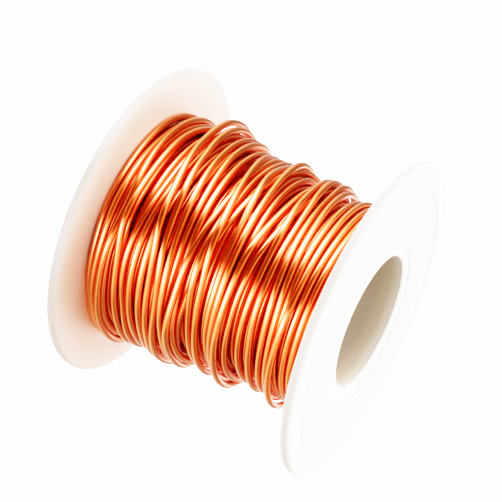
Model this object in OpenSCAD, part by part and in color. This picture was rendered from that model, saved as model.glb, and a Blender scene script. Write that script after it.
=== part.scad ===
// Wire spool: a plastic spool of three moulded pieces, filled with round copper wire.
// It stands upright on its bottom flange. The bore runs along Z, and the origin is the
// middle of the face that it stands on.

/* [Spool] */
// Outside diameter of both flanges
flange_d = 50.8; // [48:0.1:56]
// Thickness of a flange at its rim
flange_t = 1.5; // [1.4:0.1:2.2]
// Length over both flanges
spool_len = 41.3; // [36:0.1:50]
// Through bore, for a spindle
bore_d = 21.2; // [16:0.1:21.8]
// Outside of the barrel tube, under the wire
barrel_d = 24.2; // [23.6:0.1:28]

/* [Flange detail] */
// Rounding of the rim's two edges
rim_round = 0.5; // [0.2:0.05:0.6]
// Outside diameter of the shallow label seat in a flange's outer face
seat_d = 43.2; // [38:0.1:44]
// Depth of the label seat
seat_depth = 0.3; // [0.2:0.05:0.4]
// Depth of the step that the barrel's end sits in
step_depth = 0.5; // [0.3:0.05:0.6]
// Height of the collar that holds the barrel's end
collar_h = 1.6; // [1:0.1:3]
// Wall of that collar
collar_wall = 1.0; // [0.8:0.1:1.4]
// Chamfer at the mouth of the bore
mouth = 0.25; // [0.1:0.05:0.4]

/* [Label] */
// Thickness of the blank paper label
label_t = 0.12; // [0.08:0.02:0.16]
// Hole in the label
label_hole_d = 26; // [23.4:0.1:28]
// How far the label's hole sits off the spool's axis
label_shift = 0.8; // [0:0.1:0.9]

/* [Wire] */
// Wire over its clear coat
wire_d = 1.1; // [0.6:0.02:1.3]
// Radial depth of the winding beside the bottom flange
depth_low = 6.5; // [5.4:0.1:7]
// Radial depth of the winding half way up
depth_mid = 5.4; // [4.6:0.1:6.4]
// Radial depth of the winding beside the top flange
depth_top = 4.3; // [3.6:0.1:5.6]
// Gap between the outermost turns and each flange
end_gap = 0.1; // [0.05:0.05:0.3]

/* [Hidden] */
$fn = 96;

flange_r = flange_d / 2;
bore_r = bore_d / 2;
barrel_r = barrel_d / 2;
seat_r = seat_d / 2;
web_t = flange_t - seat_depth;            // flange inside the label seat
barrel_z = seat_depth + web_t - step_depth; // the barrel's lower end
barrel_len = spool_len - 2 * barrel_z;
collar_r = barrel_r + collar_wall;
well_lo = flange_t + end_gap;             // wire well between the flanges
well_hi = spool_len - flange_t - end_gap;
well_h = well_hi - well_lo;

// Depth of the winding at height u, from 0 at the bottom flange to 1 at the top flange:
// a smooth fall from bottom to top through the middle value, with low lumps like those
// of wire that was wound by hand.
function lump(u) = 0.16 * sin(u * 1150) + 0.10 * sin(u * 1990 + 70);
function wind_depth(u) =
    depth_low * (1 - u) * (1 - 2 * u) + depth_mid * 4 * u * (1 - u) + depth_top * u * (2 * u - 1) + lump(u);

// Place of the last turn of the wire: in the corner beside the top flange, with its end
// at the back
end_z = well_hi - wire_d / 2 - 0.02;
step_r = barrel_r + wind_depth(1) - wire_d;   // surface that the last turn lies on
end_r = step_r + wire_d / 2 + 0.02;

// Half section of a flange, outer face down
module flange_section() {
    difference() {
        union() {
            translate([bore_r, 0]) square([flange_r - rim_round - bore_r, flange_t]);
            translate([flange_r - rim_round - 0.01, rim_round])
                square([rim_round + 0.01, flange_t - 2 * rim_round]);
            translate([flange_r - rim_round, rim_round]) circle(r = rim_round);
            translate([flange_r - rim_round, flange_t - rim_round]) circle(r = rim_round);
            translate([barrel_r, flange_t - 0.1]) square([collar_wall, collar_h + 0.1]);
        }
        // label seat with a small draft at its edge
        polygon([[bore_r - 1, -1], [seat_r + 0.15, -1], [seat_r + 0.15, 0],
                 [seat_r - 0.1, seat_depth], [bore_r - 1, seat_depth]]);
        // step for the barrel's end
        translate([bore_r - 1, flange_t - step_depth]) square([barrel_r - bore_r + 1, collar_h + 2]);
        // chamfer at the mouth of the bore
        polygon([[bore_r - 1, seat_depth - 0.1], [bore_r + mouth + 0.1, seat_depth - 0.1],
                 [bore_r - 0.1, seat_depth + mouth + 0.1], [bore_r - 1, seat_depth + mouth + 0.1]]);
        // chamfer inside and outside the collar's end
        polygon([[collar_r - 0.2, flange_t + collar_h + 0.1], [collar_r + 0.1, flange_t + collar_h - 0.2],
                 [collar_r + 1, flange_t + collar_h + 1]]);
    }
}

module flange() {
    rotate_extrude($fn = 180) flange_section();
}

module barrel() {
    color("antiquewhite")
        translate([0, 0, barrel_z]) difference() {
            cylinder(h = barrel_len, r = barrel_r, $fn = 120);
            translate([0, 0, -1]) cylinder(h = barrel_len + 2, r = bore_r, $fn = 120);
        }
}

module bottom_flange() {
    color("white") flange();
}

module top_flange() {
    color("white") translate([0, 0, spool_len]) mirror([0, 0, 1]) flange();
}

module face_label() {
    color("whitesmoke")
        translate([0, 0, spool_len - seat_depth]) difference() {
            cylinder(h = label_t, r = seat_r - 0.35, $fn = 180);
            translate([label_shift, 0, -1]) cylinder(h = label_t + 2, r = label_hole_d / 2, $fn = 120);
        }
}

// Outer shape of all the turns but the last: a closed ring round the barrel, stepped at
// both ends where the turns lie on the flange collars, and beside the top flange for the
// last turn
module wire_winding() {
    steps = 26;
    top_z = well_hi - wire_d - 0.06;
    color("chocolate")
        rotate_extrude($fn = 120)
            polygon(concat(
                [[collar_r, well_lo], [barrel_r + wind_depth(0), well_lo]],
                [for (i = [1 : steps - 1]) [barrel_r + wind_depth(i / steps), well_lo + (top_z - well_lo) * i / steps]],
                [[barrel_r + wind_depth(1), top_z], [step_r, top_z], [step_r, well_hi], [collar_r, well_hi],
                 [collar_r, spool_len - flange_t - collar_h - 0.02],
                 [barrel_r, spool_len - flange_t - collar_h - 0.02],
                 [barrel_r, flange_t + collar_h + 0.02], [collar_r, flange_t + collar_h + 0.02]]));
}

// The last turn of the wire. Its end is at the back, beside the top flange
module wire_free_end() {
    color("peru")
        rotate([0, 0, 144]) rotate_extrude(angle = 330, $fn = 180)
            translate([end_r, end_z]) circle(d = wire_d, $fn = 24);
}

barrel();
bottom_flange();
top_flange();
face_label();
wire_winding();
wire_free_end();
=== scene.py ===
import bpy, math
import numpy as np
from mathutils import Matrix, Vector


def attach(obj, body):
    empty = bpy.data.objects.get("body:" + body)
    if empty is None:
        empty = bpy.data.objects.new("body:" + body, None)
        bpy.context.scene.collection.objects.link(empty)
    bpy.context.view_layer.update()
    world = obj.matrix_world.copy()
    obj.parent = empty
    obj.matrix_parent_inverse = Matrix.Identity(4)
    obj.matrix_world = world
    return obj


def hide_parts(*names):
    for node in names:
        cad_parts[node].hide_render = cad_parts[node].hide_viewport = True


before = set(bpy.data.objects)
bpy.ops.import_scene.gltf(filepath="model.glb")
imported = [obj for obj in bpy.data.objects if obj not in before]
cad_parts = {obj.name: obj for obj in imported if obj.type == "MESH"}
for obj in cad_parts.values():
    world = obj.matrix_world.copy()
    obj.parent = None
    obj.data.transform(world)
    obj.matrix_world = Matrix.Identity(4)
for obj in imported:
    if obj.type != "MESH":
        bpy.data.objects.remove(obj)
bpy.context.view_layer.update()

# ------------------------------------------------------------------ sizes, in metres, as in the CAD
MM = 0.001
FLANGE_R = 25.4
SPOOL_L = 41.3
D = 1.10               # wire over its coat
R_B = 12.1             # barrel
R_C = 13.1             # collars of the flanges
Z_F0, Z_F1 = 1.5, 39.8 # inner faces of the flanges
C0, C1 = 3.12, 38.18   # ends of the collars
K = 108                # steps a turn
H = 2 * math.pi / K

# ------------------------------------------------------------------ camera, at the photograph's angle
CAM_AL, CAM_BE = math.radians(203.9), math.radians(20.0)
CAM_P = np.array([0.713, 0.421, 9.53]) * FLANGE_R
CAM_F = 170.54 * 9.53


def camera():
    n = np.array([math.cos(CAM_BE) * math.cos(CAM_AL), math.cos(CAM_BE) * math.sin(CAM_AL), math.sin(CAM_BE)])
    c = -CAM_P + (CAM_P @ n) * n
    e1 = c / np.linalg.norm(c)
    e2 = np.cross(n, e1)
    R = np.stack([-e2, -e1, -n], 1)          # object axes in camera terms (x right, y down, z ahead)
    o = CAM_P + SPOOL_L * n
    pos = R.T @ (-o) * MM
    right, up, back = R.T @ np.array([1, 0, 0.0]), R.T @ np.array([0, -1, 0.0]), R.T @ np.array([0, 0, -1.0])
    cam = bpy.data.cameras.new("camera")
    cam.sensor_width = 36
    cam.lens = CAM_F * 36 / 502
    cam.clip_start = 0.01
    cam.clip_end = 50
    ob = bpy.data.objects.new("camera", cam)
    bpy.context.scene.collection.objects.link(ob)
    m = Matrix.Identity(4)
    for i in range(3):
        m[i][0], m[i][1], m[i][2], m[i][3] = right[i], up[i], back[i], pos[i]
    ob.matrix_world = m
    bpy.context.scene.camera = ob
    return R, pos


CAM_R, CAM_POS = camera()


def from_camera(x, y, z):
    """a direction given in camera terms (x right, y down, z ahead), in the object's frame"""
    v = CAM_R.T @ np.array([x, y, z], float)
    return Vector(v / np.linalg.norm(v))


# ------------------------------------------------------------------ the winding
# Turns on the camera's side: distance from the outer face of the top flange, in flange radii, at these angles round
# the spool from the camera's direction. A later turn lies on the earlier ones that it crosses.
ANGLES = (90, 60, 40, 20, 0, -20, -40, -60, -90)
UPPER = (
    (.575, .565, .553, .543, .540, .548, .553, .552, .550),
    (.545, .522, .503, .492, .485, .490, .481, .475, .475),
    (.480, .468, .452, .438, .421, .410, .405, .408, .413),
    (.435, .420, .405, .393, .378, .368, .364, .366, .372),
    (.340, .340, .338, .340, .336, .330, .322, .312, .305),
    (.285, .287, .288, .290, .295, .306, .320, .335, .340),
    (.243, .245, .245, .250, .255, .262, .262, .270, .270),
    (.200, .203, .205, .211, .212, .218, .222, .228, .230),
    (.160, .162, .163, .168, .170, .175, .178, .182, .180),
    (.122, .122, .122, .125, .127, .130, .133, .135, .132),
    (.082, .082, .082, .082, .082, .082, .082, .082, .082),
)
LOWER = (
    (1.546, 1.546, 1.545, 1.535, 1.540, 1.533, 1.543, 1.545, 1.545),
    (1.505, 1.500, 1.497, 1.490, 1.490, 1.490, 1.500, 1.500, 1.500),
    (1.475, 1.470, 1.463, 1.447, 1.440, 1.449, 1.459, 1.458, 1.455),
    (1.385, 1.390, 1.400, 1.403, 1.403, 1.381, 1.362, 1.352, 1.345),
    (1.300, 1.300, 1.303, 1.312, 1.327, 1.335, 1.325, 1.312, 1.305),
    (1.210, 1.215, 1.225, 1.239, 1.260, 1.264, 1.252, 1.240, 1.235),
    (1.165, 1.165, 1.172, 1.185, 1.210, 1.208, 1.197, 1.185, 1.190),
    (1.280, 1.268, 1.245, 1.210, 1.186, 1.167, 1.156, 1.145, 1.155),
    (1.080, 1.075, 1.067, 1.050, 1.040, 1.035, 1.045, 1.055, 1.060),
    (1.215, 1.205, 1.185, 1.158, 1.140, 1.110, 1.092, 1.088, 1.100),
    (1.145, 1.138, 1.120, 1.100, 1.083, 1.062, 1.044, 1.035, 1.040),
    (1.020, 1.015, 1.008, 1.000, .987, .972, .957, .945, .930),
    (.900, .905, .915, .930, .952, .966, .970, .975, .980),
    (.865, .865, .868, .876, .885, .880, .873, .868, .865),
    (.955, .920, .890, .862, .846, .838, .826, .820, .815),
    (.810, .800, .787, .774, .762, .760, .762, .756, .750),
    (.750, .745, .737, .722, .718, .720, .722, .720, .720),
    (.585, .600, .625, .650, .672, .685, .692, .695, .700),
    (.500, .530, .550, .578, .620, .648, .668, .668, .660),
)
# mm that a turn stands off, by its place in LOWER + UPPER
LOOSE = {0: (.7, .55, .2, 0, 0, 0, 0, 0, 0), 7: (1.1, .7, .25, 0, 0, 0, 0, 0, 0), 9: (0, 0, 0, 0, 0, .1, .35, .9, 1.15),
         14: (0, 0, 0, 0, 0, 0, 0, .2, .45), 20: (.4, .2, 0, 0, 0, 0, 0, .3, .5), 21: (.3, .1, 0, 0, 0, 0, 0, .3, .6),
         22: (.7, .3, .1, 0, 0, 0, .1, .5, .9), 24: (.3, .2, 0, 0, 0, 0, .1, .3, .6)}


def smooth_noise(rng, n, per, period):
    m = int(n / (per * period)) + 6
    g = rng.normal(size=m)
    x = np.arange(n) / (per * period)
    i = x.astype(int); f = x - i
    w0 = (1 - f) ** 3 / 6; w1 = (3 * f ** 3 - 6 * f ** 2 + 4) / 6
    w2 = (-3 * f ** 3 + 3 * f ** 2 + 3 * f + 1) / 6; w3 = f ** 3 / 6
    return (w0 * g[i] + w1 * g[i + 1] + w2 * g[i + 2] + w3 * g[i + 3]) * 1.45


def spline(x, y, q):
    """smooth curve through the points that doesn't overshoot them"""
    x, y = np.asarray(x, float), np.asarray(y, float)
    h = np.diff(x); d = np.diff(y) / h
    m = np.zeros(len(x)); m[0], m[-1] = d[0], d[-1]
    w1, w2 = 2 * h[1:] + h[:-1], h[1:] + 2 * h[:-1]
    ok = d[:-1] * d[1:] > 0
    with np.errstate(divide="ignore", invalid="ignore"):
        m[1:-1] = np.where(ok, (w1 + w2) / (w1 / d[:-1] + w2 / d[1:]), 0)
    i = np.clip(np.searchsorted(x, q) - 1, 0, len(h) - 1)
    t = (q - x[i]) / h[i]
    return (y[i] * (1 + 2 * t) * (1 - t) ** 2 + m[i] * h[i] * t * (1 - t) ** 2
            + y[i + 1] * t * t * (3 - 2 * t) + m[i + 1] * h[i] * t * t * (t - 1))


def soften(v, sigma):
    m = int(4 * sigma) + 1
    w = np.exp(-0.5 * (np.arange(-m, m + 1) / sigma) ** 2)
    return np.convolve(np.pad(v, m, mode="edge"), w / w.sum(), "valid")


def base_r(z):
    b = np.full(z.shape, R_B + D / 2)
    for lo in (True, False):
        over = (z <= C0) if lo else (z >= C1)
        b = np.where(over, R_C + D / 2, b)
        e = np.abs(z - (C0 if lo else C1))
        near = (~over) & (e < D / 2)
        b = np.where(near, np.maximum(b, R_C + np.sqrt(np.maximum(0, (D / 2) ** 2 - e ** 2))), b)
    return b


D_TOUCH = 1.07         # turns that lie side by side press a little into each other's coat
TOUCH = D_TOUCH ** 2


class Well:
    def __init__(self, turns):
        self.Z = np.full((K, turns), -99.0); self.R = np.zeros((K, turns)); self.n = np.zeros(K, int)

    def support(self, k, z):
        n = self.n[k]
        s = base_r(z)
        if n:
            dz = np.abs(z[:, None] - self.Z[k, :n][None])
            h = np.where(dz < D_TOUCH, self.R[k, :n][None] + np.sqrt(np.maximum(0, TOUCH - dz * dz)), 0)
            s = np.maximum(s, h.max(1))
        return s

    def put(self, k, z, r):
        self.Z[k, self.n[k]] = z; self.R[k, self.n[k]] = r; self.n[k] += 1


def taut(s, passes):
    """a tight string over the supports s"""
    r = s.copy()
    c = 2 * math.cos(H)
    for _ in range(passes):
        a, b = r[:-2], r[2:]
        r[1:-1] = np.maximum(s[1:-1], a * b * c / (a + b))
    return r


def lay(guide, wr, wg, lift, stiff=9):
    """lays the wire along the guide, turn on turn. wr draws it to low places, wg holds it to the guide (0: nailed to it)"""
    N = len(guide)
    well = Well(N // K + 3)
    z_out = np.zeros(N); r_out = np.zeros(N); s_out = np.zeros(N)
    G = 0.11; M = 9; off = np.arange(-M, M + 1) * G
    prev_z = guide[0]
    lo, hi = Z_F0 + D / 2 + 0.01, Z_F1 - D / 2 - 0.01
    CH = K // 2
    BACK = 30
    step = off[:, None] - off[None, :]
    i = 0
    while i < N:
        m = min(CH, N - i)
        if wg[i] > 0:
            n = min(CH * 2, N - i)
            cost = None; back = []; zs = []
            for j in range(n):
                g = guide[i + j]
                zc = np.clip(g + off, lo, hi)
                s = well.support((i + j) % K, zc)
                e = wr[i + j] * H * s + wg[i + j] * H * (zc - g) ** 2
                zs.append(zc)
                if cost is None:
                    dz = zc - prev_z
                    cost = e + dz ** 2 / (2 * H * 16.5) + np.where(np.abs(dz) > 0.5, 50 * (np.abs(dz) - 0.5), 0)
                    back.append(None)
                else:
                    dz = step                      # the guide's own slope is free
                    t = cost[None, :] + dz ** 2 / (2 * H * 16.5) * stiff + np.where(np.abs(dz) > 0.25, 50 * (np.abs(dz) - 0.25), 0)
                    b = t.argmin(1); back.append(b)
                    cost = t[np.arange(len(off)), b] + e
            q = int(cost.argmin()); path = np.zeros(n)
            for j in range(n - 1, -1, -1):
                path[j] = zs[j][q]
                if back[j] is not None:
                    q = int(back[j][q])
        else:
            path = guide[i:min(i + 2 * CH, N)].copy()
        pre = z_out[max(0, i - 8):i]
        seq = np.concatenate([pre, path])
        w = np.exp(-0.5 * (np.arange(-5, 6) / 2.2) ** 2); w /= w.sum()
        pad = np.concatenate([np.full(5, seq[0]), seq, np.full(5, seq[-1])])
        zz = np.convolve(pad, w, 'valid')[len(pre):len(pre) + m]
        if i > 0:
            gap = zz[0] - (2 * z_out[i - 1] - z_out[i - 2])
            zz = zz - gap * np.exp(-np.arange(m) / 3.5) * 0.7
        zz = np.clip(zz, lo, hi)
        s = np.array([well.support((i + j) % K, zz[j:j + 1])[0] for j in range(m)]) + lift[i:i + m]
        z_out[i:i + m] = zz
        s_out[i:i + m] = s
        a = max(0, i - BACK)
        r_out[a:i + m] = taut(np.concatenate([s_out[a:a + 1] * 0 + r_out[a:a + 1] if i else s[:1], s_out[a + 1:i + m]]), 160)
        for j in range(a, i):
            well.R[j % K, j // K] = r_out[j]
        for j in range(m):
            well.put((i + j) % K, z_out[i + j], r_out[i + j])
        prev_z = z_out[i + m - 1]
        i += m
    return z_out, r_out


def guide_path(rng):
    lo, hi = Z_F0 + D / 2 + 0.02, Z_F1 - D / 2 - 0.02
    Z, WR, WG, LI = [], [], [], []

    def add(z, wr, wg, lift=None):
        n = len(z)
        Z.append(np.clip(z, lo, hi)); WR.append(np.full(n, float(wr))); WG.append(np.full(n, float(wg)))
        LI.append(np.zeros(n) if lift is None else lift)

    def run(z0, z1, pitch, jitter, wob, period, wr, wg, whole=True):
        n = abs(z1 - z0) / pitch
        n = int(max(1, round(n)) * K) if whole else int(n * K)
        sp = np.clip(1 + jitter * smooth_noise(rng, n, K, 1.7), 0.25, 2.5)
        c = np.cumsum(sp); c = c / c[-1]
        z = z0 + (z1 - z0) * c
        win = np.minimum(1, np.minimum(np.arange(n), np.arange(n)[::-1]) / K)
        add(z + wob * smooth_noise(rng, n, K, period) * win, wr, wg)

    def traced(rows, loose, wr, wg, t0, end):
        """rows of turns; the path is made of whole turns that begin at the back"""
        t, z, l = [], [], []
        for i, row in enumerate(rows):
            for k, a in enumerate(ANGLES):
                t.append(i + 0.5 - a / 360); z.append(SPOOL_L - FLANGE_R * row[k])
                l.append(loose.get(i, (0,) * len(ANGLES))[k])
        t = [0.0] + t + [len(rows) + 0.0]; z = [t0] + z + [end]; l = [0] + l + [0]
        n = len(rows) * K
        q = np.arange(n) / K
        zz = spline(t, z, q) + 0.03 * smooth_noise(rng, n, K, 0.2)
        add(zz, wr, wg, np.maximum(0, spline(t, l, q)))

    zn = lambda v: SPOOL_L - FLANGE_R * v
    # three tidy layers
    run(hi, lo, 1.16, 0.06, 0.04, 0.7, 1.2, 3.0)
    run(lo, hi, 1.16, 0.10, 0.08, 0.7, 1.2, 2.0)
    run(hi, lo, 1.17, 0.20, 0.15, 0.7, 1.2, 1.5)
    # a fourth over the lower part, and an open one beside the bottom flange
    run(lo, zn(.66), 1.18, 0.2, 0.2, 0.6, 1.0, 0.9)
    x = np.arange(K) / K
    add(zn(.66) + (zn(1.06) - zn(.66)) * x * x * (3 - 2 * x), 1.0, 2.0)
    run(zn(1.06), zn(1.40), 2.2, 0.3, 0.3, 0.6, 1.0, 0.6)
    run(zn(1.40), lo, 3.6, 0.1, 0.1, 0.6, 1.0, 2.0)
    # the turns that show: up to the top flange, where the wire ends, behind
    traced(LOWER + UPPER, LOOSE, 1.0, 1.4, lo, hi)
    add(np.full(7, hi), 1.0, 1.4)
    return (np.concatenate(v) for v in (Z, WR, WG, LI))


def tube(name, th, r, z, sides, stride=1):
    """round wire along the path r, z over the angles th, as a mesh in metres"""
    th, r, z = th[::stride], r[::stride], z[::stride]
    P = np.stack([r * np.cos(th), r * np.sin(th), z], 1)
    T = np.gradient(P, axis=0); T /= np.linalg.norm(T, axis=1)[:, None]
    N = np.stack([np.cos(th), np.sin(th), np.zeros_like(th)], 1)
    N -= (N * T).sum(1)[:, None] * T; N /= np.linalg.norm(N, axis=1)[:, None]
    B = np.cross(T, N)
    a = np.arange(sides) * 2 * math.pi / sides
    V = P[:, None] + D / 2 * (np.cos(a)[None, :, None] * N[:, None] + np.sin(a)[None, :, None] * B[:, None])
    V = V.reshape(-1, 3)
    m = len(P)
    i = np.arange(m - 1)[:, None] * sides; j = np.arange(sides)[None, :]; j2 = (j + 1) % sides
    F = np.stack([i + j, i + j2, i + sides + j2, i + sides + j], 2).reshape(-1, 4)
    me = bpy.data.meshes.new(name)
    nv, nf = len(V) + 2, len(F)
    V = np.concatenate([V, P[:1] - T[:1] * D * 0.12, P[-1:] + T[-1:] * D * 0.12]) * MM
    caps = [(len(V) - 2, (k + 1) % sides, k) for k in range(sides)] + \
           [(len(V) - 1, (m - 1) * sides + k, (m - 1) * sides + (k + 1) % sides) for k in range(sides)]
    me.vertices.add(nv); me.vertices.foreach_set("co", V.ravel())
    loops = np.concatenate([F.ravel(), np.array(caps).ravel()])
    me.loops.add(len(loops)); me.loops.foreach_set("vertex_index", loops.astype(np.int32))
    starts = np.concatenate([np.arange(nf) * 4, nf * 4 + np.arange(len(caps)) * 3])
    tot = np.concatenate([np.full(nf, 4), np.full(len(caps), 3)])
    me.polygons.add(nf + len(caps))
    me.polygons.foreach_set("loop_start", starts.astype(np.int32))
    me.polygons.foreach_set("loop_total", tot.astype(np.int32))
    me.update(calc_edges=True)
    me.validate()
    me.shade_smooth()
    # length along the wire and place round it, for the drawing lines
    s = np.concatenate([[0], np.cumsum(np.linalg.norm(np.diff(P, axis=0), axis=1))])
    run = np.zeros((len(V), 3))
    run[:m * sides, 0] = np.repeat(s, sides)
    run[:m * sides, 1] = np.tile(np.cos(a), m); run[:m * sides, 2] = np.tile(np.sin(a), m)
    run[-1, 0] = s[-1]
    at = me.attributes.new("wire_run", "FLOAT_VECTOR", "POINT")
    at.data.foreach_set("vector", run.ravel())
    ob = bpy.data.objects.new(name, me)
    bpy.context.scene.collection.objects.link(ob)
    return ob


rng = np.random.default_rng(7)
guide, draw, hold, lift = guide_path(rng)
wz, wr_ = lay(guide, draw, hold, lift)
wth = math.pi / 2 + np.arange(len(wz)) * H
wire_len = float(np.hypot(wr_[:-1] * H, np.hypot(np.diff(wz), np.diff(wr_))).sum()) * MM
print("wire length m", round(wire_len, 3), "turns", round(len(wz) / K, 1), "copper g", round(wire_len * 0.8235 * 8.96, 1))
wr_ = soften(wr_, 1.6) + 0.035 * smooth_noise(rng, len(wr_), K, 0.07) + 0.03 * smooth_noise(rng, len(wr_), K, 0.16)
cut1, cut2 = len(wz) - 72 * K, len(wz) - 36 * K
inner = tube("wire_inner_turns", wth[:cut1 + 1], wr_[:cut1 + 1], wz[:cut1 + 1], 6, 2)
middle = tube("wire_middle_turns", wth[cut1:cut2 + 1], wr_[cut1:cut2 + 1], wz[cut1:cut2 + 1], 10)
outer = tube("wire_outer_turns", wth[cut2:], wr_[cut2:], wz[cut2:], 14)


# ------------------------------------------------------------------ materials
def material(name):
    m = bpy.data.materials.new(name)
    m.use_nodes = True
    nt = m.node_tree
    return m, nt, nt.nodes["Principled BSDF"]


def node(nt, kind, **props):
    n = nt.nodes.new(kind)
    for k, v in props.items():
        setattr(n, k, v)
    return n


def ramp(nt, stops, interpolation="LINEAR"):
    """colour ramp from (position, value or colour) pairs"""
    n = nt.nodes.new("ShaderNodeValToRGB")
    n.color_ramp.interpolation = interpolation
    e = n.color_ramp.elements
    while len(e) < len(stops):
        e.new(0.5)
    for i, (p, c) in enumerate(stops):
        e[i].position = p
        c = (c, c, c) if isinstance(c, (int, float)) else c
        e[i].color = (*c, 1)
    return n


def copper():
    m, nt, b = material("copper_wire")
    L = nt.links.new
    b.inputs["Metallic"].default_value = 1.0
    b.inputs["Coat Weight"].default_value = 0.4
    b.inputs["Coat Roughness"].default_value = 0.10
    b.inputs["Coat IOR"].default_value = 1.6
    at = node(nt, "ShaderNodeAttribute", attribute_name="wire_run")
    tc = node(nt, "ShaderNodeTexCoord")
    mp = node(nt, "ShaderNodeMapping"); mp.inputs["Scale"].default_value = (0.06, 3.2, 1)
    L(at.outputs["Vector"], mp.inputs["Vector"])
    lines = node(nt, "ShaderNodeTexNoise"); lines.inputs["Scale"].default_value = 1.0
    lines.inputs["Detail"].default_value = 3
    L(mp.outputs[0], lines.inputs["Vector"])
    tone = node(nt, "ShaderNodeTexNoise"); tone.inputs["Scale"].default_value = 170
    tone.inputs["Detail"].default_value = 4
    L(tc.outputs["Object"], tone.inputs["Vector"])
    col = ramp(nt, [(0.30, (0.82, 0.232, 0.062)), (0.5, (0.845, 0.258, 0.076)), (0.72, (0.87, 0.288, 0.093))])
    L(tone.outputs["Fac"], col.inputs["Fac"])
    L(col.outputs[0], b.inputs["Base Color"])
    ro = ramp(nt, [(0.3, 0.16), (0.7, 0.24)])
    L(lines.outputs["Fac"], ro.inputs["Fac"])
    L(ro.outputs[0], b.inputs["Roughness"])
    bp = node(nt, "ShaderNodeBump"); bp.inputs["Strength"].default_value = 0.12
    bp.inputs["Distance"].default_value = 0.00002
    L(lines.outputs["Fac"], bp.inputs["Height"])
    L(bp.outputs[0], b.inputs["Normal"])
    return m


def plastic():
    m, nt, b = material("white_plastic")
    L = nt.links.new
    tc = node(nt, "ShaderNodeTexCoord")
    tone = node(nt, "ShaderNodeTexNoise"); tone.inputs["Scale"].default_value = 60
    tone.inputs["Detail"].default_value = 3
    L(tc.outputs["Object"], tone.inputs["Vector"])
    col = ramp(nt, [(0.3, (0.87, 0.79, 0.69)), (0.7, (0.90, 0.825, 0.735))])
    L(tone.outputs["Fac"], col.inputs["Fac"])
    # painted light and shade in the bore: from 0.3 mm to 1 mm below the face the bore wall blends into the pale cream
    # with which the barrel's painted gradient begins
    flat = node(nt, "ShaderNodeMapping"); flat.inputs["Scale"].default_value = (1, 1, 0)
    L(tc.outputs["Object"], flat.inputs["Vector"])
    rad = node(nt, "ShaderNodeVectorMath", operation="LENGTH"); L(flat.outputs[0], rad.inputs[0])
    inside = node(nt, "ShaderNodeMath", operation="LESS_THAN"); inside.inputs[1].default_value = 10.95 * MM
    L(rad.outputs["Value"], inside.inputs[0])
    xyz = node(nt, "ShaderNodeSeparateXYZ"); L(tc.outputs["Object"], xyz.inputs[0])
    d = node(nt, "ShaderNodeMath", operation="SUBTRACT"); d.inputs[1].default_value = SPOOL_L / 2 * MM
    L(xyz.outputs[2], d.inputs[0])
    ab = node(nt, "ShaderNodeMath", operation="ABSOLUTE"); L(d.outputs[0], ab.inputs[0])
    deep = node(nt, "ShaderNodeMath", operation="MULTIPLY_ADD", use_clamp=True)      # 0 at 0.3 mm, 0.8 at 1 mm below the face
    deep.inputs[1].default_value = -1.15 / MM; deep.inputs[2].default_value = 1.15 * (SPOOL_L / 2 - 0.3)
    L(ab.outputs[0], deep.inputs[0])
    wall = node(nt, "ShaderNodeMath", operation="MULTIPLY"); L(inside.outputs[0], wall.inputs[0]); L(deep.outputs[0], wall.inputs[1])
    shade = node(nt, "ShaderNodeMix", data_type="RGBA")
    L(wall.outputs[0], shade.inputs["Factor"]); L(col.outputs[0], shade.inputs["A"])
    shade.inputs["B"].default_value = (0.95, 0.89, 0.81, 1)
    L(shade.outputs["Result"], b.inputs["Base Color"])
    fine = node(nt, "ShaderNodeTexNoise"); fine.inputs["Scale"].default_value = 2200
    fine.inputs["Detail"].default_value = 3
    L(tc.outputs["Object"], fine.inputs["Vector"])
    ro = ramp(nt, [(0.3, 0.34), (0.7, 0.48)])
    L(tone.outputs["Fac"], ro.inputs["Fac"])
    L(ro.outputs[0], b.inputs["Roughness"])
    bp = node(nt, "ShaderNodeBump"); bp.inputs["Strength"].default_value = 0.2
    bp.inputs["Distance"].default_value = 0.00002
    L(fine.outputs["Fac"], bp.inputs["Height"])
    L(bp.outputs[0], b.inputs["Normal"])
    return m


def bore_plastic_painted_shade():
    """the same plastic with painted shade: pale at the mouths and a darker warm tan deeper in the bore"""
    m, nt, b = material("barrel_plastic_painted_shade")
    L = nt.links.new
    tc = node(nt, "ShaderNodeTexCoord")
    xyz = node(nt, "ShaderNodeSeparateXYZ")
    L(tc.outputs["Object"], xyz.inputs[0])
    tone = node(nt, "ShaderNodeTexNoise"); tone.inputs["Scale"].default_value = 90
    tone.inputs["Detail"].default_value = 3
    L(tc.outputs["Object"], tone.inputs["Vector"])
    # distance from the nearer mouth, in millimetres, softened by the noise
    d = node(nt, "ShaderNodeMath", operation="SUBTRACT"); d.inputs[1].default_value = SPOOL_L / 2 * MM
    L(xyz.outputs[2], d.inputs[0])
    ab = node(nt, "ShaderNodeMath", operation="ABSOLUTE"); L(d.outputs[0], ab.inputs[0])
    dep = node(nt, "ShaderNodeMath", operation="MULTIPLY_ADD")
    dep.inputs[1].default_value = -1 / (10 * MM); dep.inputs[2].default_value = SPOOL_L / 20
    L(ab.outputs[0], dep.inputs[0])
    nz = node(nt, "ShaderNodeMath", operation="MULTIPLY_ADD"); nz.inputs[1].default_value = 0.06; nz.inputs[2].default_value = -0.03
    L(tone.outputs["Fac"], nz.inputs[0])
    su = node(nt, "ShaderNodeMath", operation="ADD")
    L(dep.outputs[0], su.inputs[0]); L(nz.outputs[0], su.inputs[1])
    # painted shade: pale cream near the mouth, darkening to tan further into the bore
    col = ramp(nt, [(0.09, (0.95, 0.89, 0.81)), (0.15, (0.88, 0.79, 0.66)), (0.26, (0.70, 0.60, 0.465)), (0.46, (0.60, 0.505, 0.41)), (1.0, (0.60, 0.535, 0.455))], "EASE")
    L(su.outputs[0], col.inputs["Fac"])
    L(col.outputs[0], b.inputs["Base Color"])
    ro = ramp(nt, [(0.3, 0.36), (0.7, 0.5)])
    L(tone.outputs["Fac"], ro.inputs["Fac"]); L(ro.outputs[0], b.inputs["Roughness"])
    return m


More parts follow.
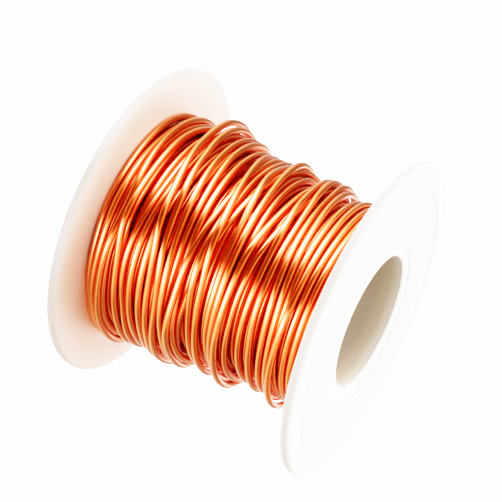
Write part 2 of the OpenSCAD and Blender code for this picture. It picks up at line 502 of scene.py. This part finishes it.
def paper():
    """blank uncoated label stock: short fibres, a faint mottle and a thin line of painted shade along both cut edges"""
    m, nt, b = material("label_paper")
    L = nt.links.new
    tc = node(nt, "ShaderNodeTexCoord")

    def noise(scale, detail, stretch=(1, 1, 1), turn=0.0):
        mp = node(nt, "ShaderNodeMapping")
        mp.inputs["Scale"].default_value = stretch
        mp.inputs["Rotation"].default_value = (0, 0, turn)
        L(tc.outputs["Object"], mp.inputs["Vector"])
        n = node(nt, "ShaderNodeTexNoise")
        n.inputs["Scale"].default_value = scale; n.inputs["Detail"].default_value = detail
        L(mp.outputs[0], n.inputs["Vector"])
        return n.outputs["Fac"]

    def mth(op, *args, clamp=False):
        n = node(nt, "ShaderNodeMath", operation=op, use_clamp=clamp)
        for i, v in enumerate(args):
            if isinstance(v, (int, float)):
                n.inputs[i].default_value = v
            else:
                L(v, n.inputs[i])
        return n.outputs[0]

    def line(shift, radius, width):
        """1 on a circle in the plane of the label, 0 away from it"""
        mp = node(nt, "ShaderNodeMapping")
        mp.inputs["Location"].default_value = (-shift * MM, 0, 0)
        mp.inputs["Scale"].default_value = (1, 1, 0)
        L(tc.outputs["Object"], mp.inputs["Vector"])
        ln = node(nt, "ShaderNodeVectorMath", operation="LENGTH")
        L(mp.outputs[0], ln.inputs[0])
        off = mth("ABSOLUTE", mth("SUBTRACT", ln.outputs["Value"], radius * MM))
        return mth("SUBTRACT", 1.0, mth("DIVIDE", off, width * MM), clamp=True)

    mottle = noise(140, 4)
    fibre = mth("MULTIPLY", mth("ADD", noise(1500, 3, (1, 0.16, 1), 0.6), noise(1500, 3, (1, 0.16, 1), 2.3)), 0.5)
    col = ramp(nt, [(0.3, (0.70, 0.675, 0.605)), (0.7, (0.745, 0.725, 0.66))])
    L(mottle, col.inputs["Fac"])
    tint = node(nt, "ShaderNodeMix", data_type="RGBA", blend_type="MULTIPLY")
    # painted shade: a thin darker line round the label's hole and round its outer rim, where the step down to the
    # flange would be shaded
    edge = mth("MULTIPLY", mth("MAXIMUM", line(0.8, 13.0, 0.30), line(0.0, 21.25, 0.26)), mth("MULTIPLY_ADD", mottle, 1.4, -0.1), clamp=True)
    L(edge, tint.inputs["Factor"])
    L(col.outputs[0], tint.inputs["A"])
    tint.inputs["B"].default_value = (0.70, 0.68, 0.62, 1)
    L(tint.outputs["Result"], b.inputs["Base Color"])
    ro = ramp(nt, [(0.3, 0.72), (0.7, 0.88)])
    L(fibre, ro.inputs["Fac"]); L(ro.outputs[0], b.inputs["Roughness"])
    bp = node(nt, "ShaderNodeBump"); bp.inputs["Strength"].default_value = 0.35
    bp.inputs["Distance"].default_value = 0.00003
    L(fibre, bp.inputs["Height"]); L(bp.outputs[0], b.inputs["Normal"])
    return m


cu = copper(); pl = plastic(); pb = bore_plastic_painted_shade(); pp = paper()
for o in (inner, middle, outer):
    o.data.materials.append(cu)
    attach(o, "root")
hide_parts("wire_winding")
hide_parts("wire_winding")
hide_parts("wire_winding", "wire_free_end")
for name in ("barrel", "bottom_flange", "top_flange", "face_label"):
    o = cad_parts[name]
    o.data.materials.clear(); o.data.materials.append({"barrel": pb, "face_label": pp}.get(name, pl))

# ------------------------------------------------------------------ floor and light
def floor():
    me = bpy.data.meshes.new("floor")
    s = 3
    me.from_pydata([(-s, -s, 0), (s, -s, 0), (s, s, 0), (-s, s, 0)], [], [(0, 1, 2, 3)])
    ob = bpy.data.objects.new("floor", me)
    bpy.context.scene.collection.objects.link(ob)
    m, nt, b = material("floor")
    b.inputs["Base Color"].default_value = (0.85, 0.85, 0.85, 1)
    b.inputs["Roughness"].default_value = 0.9
    b.inputs["Emission Color"].default_value = (1, 1, 1, 1)
    lp = node(nt, "ShaderNodeLightPath")
    e = node(nt, "ShaderNodeMath", operation="MULTIPLY"); e.inputs[1].default_value = 5.0
    nt.links.new(lp.outputs["Is Camera Ray"], e.inputs[0])
    nt.links.new(e.outputs[0], b.inputs["Emission Strength"])
    me.materials.append(m)
    ob.visible_glossy = False
    return ob


floor()


def studio():
    """a white tent; copper sees two tall soft windows either side of the camera and a dim gap between them"""
    w = bpy.data.worlds.new("studio")
    bpy.context.scene.world = w
    w.use_nodes = True
    nt = w.node_tree
    L = nt.links.new
    bg = nt.nodes["Background"]
    tc = node(nt, "ShaderNodeTexCoord")
    xyz = node(nt, "ShaderNodeSeparateXYZ")
    L(tc.outputs["Generated"], xyz.inputs[0])

    def mth(op, *args, clamp=False):
        n = node(nt, "ShaderNodeMath", operation=op, use_clamp=clamp)
        for i, v in enumerate(args):
            if isinstance(v, (int, float)):
                n.inputs[i].default_value = v
            else:
                L(v, n.inputs[i])
        return n.outputs[0]

    az = mth("ARCTAN2", mth("MULTIPLY", xyz.outputs[0], -1.0), mth("MULTIPLY", xyz.outputs[1], -1.0))
    u = mth("MULTIPLY_ADD", az, 1 / (2 * math.pi), 0.5)
    S = 16.0                                     # full scale of the ramps

    def walls(stops):
        n = ramp(nt, [(d / 360 + 0.5, v / S) for d, v in stops])
        L(u, n.inputs["Fac"])
        return mth("MULTIPLY", n.outputs[0], S)

    def heights(stops):
        n = ramp(nt, [(math.sin(math.radians(d)) * 0.5 + 0.5, v / S) for d, v in stops])
        L(mth("MULTIPLY_ADD", xyz.outputs[2], 0.5, 0.5), n.inputs["Fac"])
        return mth("MULTIPLY", n.outputs[0], S)

    low = walls([(-180, 1.0), (-145, 1.3), (-115, 1.75), (-85, 1.75), (-62, 1.0), (-20, DIM), (-8, DARK), (17, DARK), (29, DIM),
                 (66, 1.0), (84, 2.15), (112, 2.3), (136, 1.1), (150, 0.85), (180, 0.9)])
    gap = walls([(-180, 0), (-60, 0), (-16, 1), (24, 1), (66, 0), (180, 0)])
    high = walls([(-180, 0.6), (-140, 0.5), (-100, 0.4), (-20, 0.3), (-10, DARK), (15, DARK), (27, 0.3), (100, 0.4), (140, 0.4), (180, 0.6)])
    window = walls([(-180, LOBE_C), (-174, LOBE_C), (-162, 0), (-86, 0), (-68, LOBE_A * 0.2), (-54, LOBE_A * 0.3), (-44, LOBE_A * 0.75), (-38, LOBE_A), (-28, LOBE_A), (-11, 0),
                    (25, 0), (39, LOBE_B), (60, LOBE_B), (72, LOBE_B * 0.4), (94, 0),
                    (164, 0), (175, LOBE_C), (180, LOBE_C)])
    tall = heights([(-90, 0.12), (-72, 0.35), (-52, 0.75), (-34, 1), (2, 1), (22, 0.72), (42, 0.36), (62, 0.08), (76, 0), (90, 0)])
    roof = heights([(-90, 0.5), (-60, 0.3), (-45, 0), (35, 0), (60, 0.8), (90, 1.2)])
    tilt = heights([(-90, 1), (-24, 1), (-12, 0.7), (0, 0.35), (14, 0.08), (25, 0), (90, 0)])
    def mix(f, a, b):
        n = node(nt, "ShaderNodeMix", data_type="FLOAT")
        for k, v in ((0, f), (2, a), (3, b)):
            if isinstance(v, (int, float)):
                n.inputs[k].default_value = v
            else:
                L(v, n.inputs[k])
        return n.outputs[0]

    def vec(op, *args):
        n = node(nt, "ShaderNodeVectorMath", operation=op)
        for i, v in enumerate(args):
            k = 3 if op == "SCALE" and i == 1 else i
            if isinstance(v, (tuple, float)):
                n.inputs[k].default_value = v
            else:
                L(v, n.inputs[k])
        return n.outputs[0]

    def vmix(f, a, b):
        n = node(nt, "ShaderNodeMix", data_type="VECTOR")
        L(f, n.inputs[0])
        for k, v in ((4, a), (5, b)):
            if isinstance(v, tuple):
                n.inputs[k].default_value = v
            else:
                L(v, n.inputs[k])
        return n.outputs[1]

    panes = mth("MULTIPLY", window, tall)
    core = mth("MULTIPLY", mth("MULTIPLY", panes, panes), 1 / LOBE_B)    # a window is whitest in its middle
    glow = mth("SUBTRACT", panes, core)
    seen = vec("ADD", vec("SCALE", vmix(gap, WARM, DUSK), mth("ADD", mix(tilt, high, low), roof)),
               vec("ADD", vec("SCALE", COOL, core), vec("SCALE", EDGE, glow)))
    lp = node(nt, "ShaderNodeLightPath")
    first = mth("LESS_THAN", lp.outputs["Diffuse Depth"], 0.5)
    shiny = mth("MULTIPLY", lp.outputs["Is Glossy Ray"], first)
    # what falls on the plastic: mostly from above and a little more from one side
    above = heights([(-90, 0.3), (-20, 0.4), (0, 0.5), (20, 0.6), (40, 1.35), (62, 1.35), (76, 1.0), (90, 0.8)])
    belt = heights([(-90, 0), (-34, 0), (-16, 2.4), (2, 2.4), (12, 0), (90, 0)])
    side = mth("MULTIPLY_ADD", xyz.outputs[0], -1.0, 1.0)
    again = mth("MULTIPLY", lp.outputs["Is Glossy Ray"], mth("SUBTRACT", 1.0, first))
    soft = mth("MULTIPLY", mth("ADD", mth("MULTIPLY_ADD", above, side, belt), mth("MULTIPLY", panes, FILL)), AMBIENT)
    fill = vec("SCALE", (1.0, 1.0, 1.0), mix(again, soft, BOUNCE))
    L(vmix(lp.outputs["Is Camera Ray"], vmix(shiny, fill, seen), (6.0, 6.0, 6.0)), bg.inputs["Color"])
    bg.inputs["Strength"].default_value = 1.0



def softbox(name, direction, dist, size, power, color=(1, 1, 1)):
    li = bpy.data.lights.new(name, "AREA")
    li.shape = "RECTANGLE"; li.size, li.size_y = size
    li.energy = power; li.color = color
    ob = bpy.data.objects.new(name, li)
    bpy.context.scene.collection.objects.link(ob)
    d = Vector(direction).normalized()
    ob.location = Vector((0, 0, SPOOL_L / 2 * MM)) + d * dist
    ob.rotation_euler = (-d).to_track_quat("-Z", "Y").to_euler()
    ob.visible_glossy = False
    return ob


def tone():
    """a soft film-like shoulder, so that highlights go to cream and not to yellow"""
    v = bpy.context.scene.view_settings
    v.view_transform = "Standard"
    v.use_curve_mapping = True
    cm = v.curve_mapping
    W = 4.0
    cm.white_level = (W, W, W)
    pts = [(0, 0), (0.015, 0.002), (0.05, 0.017), (0.1, 0.058), (0.2, 0.165), (0.4, 0.395), (0.7, 0.655), (1.0, 0.81), (1.5, 0.925), (2.5, 0.985), (W, 1.0)]
    c = cm.curves[3]
    while len(c.points) < len(pts):
        c.points.new(0.5, 0.5)
    for p, (x, y) in zip(c.points, pts):
        p.location = (x / W, y)
    cm.update()


bpy.context.scene.cycles.glossy_bounces = 8
LOBE_A, LOBE_B, LOBE_C, DIM, DARK, AMBIENT, FILL, BOUNCE = 6.2, 6.9, 2.0, 0.58, 0.25, 0.66, 0.05, 5.0
WARM, DUSK, EDGE, COOL = (1.22, 1.06, 1.0), (1.6, 0.82, 0.33), (1.42, 1.0, 1.0), (1.0, 1.04, 2.0)   # walls of the tent, its windows
studio()
softbox("back_box", (0.0, 1.0, 0.4), 0.6, (0.5, 0.3), 2.5)
softbox("side_box", (-1.0, 0.35, 0.75), 0.5, (0.3, 0.3), 1.5)
softbox("top_box", (0.0, 0.0, 1.0), 0.4, (0.12, 0.12), 2.2)
tone()
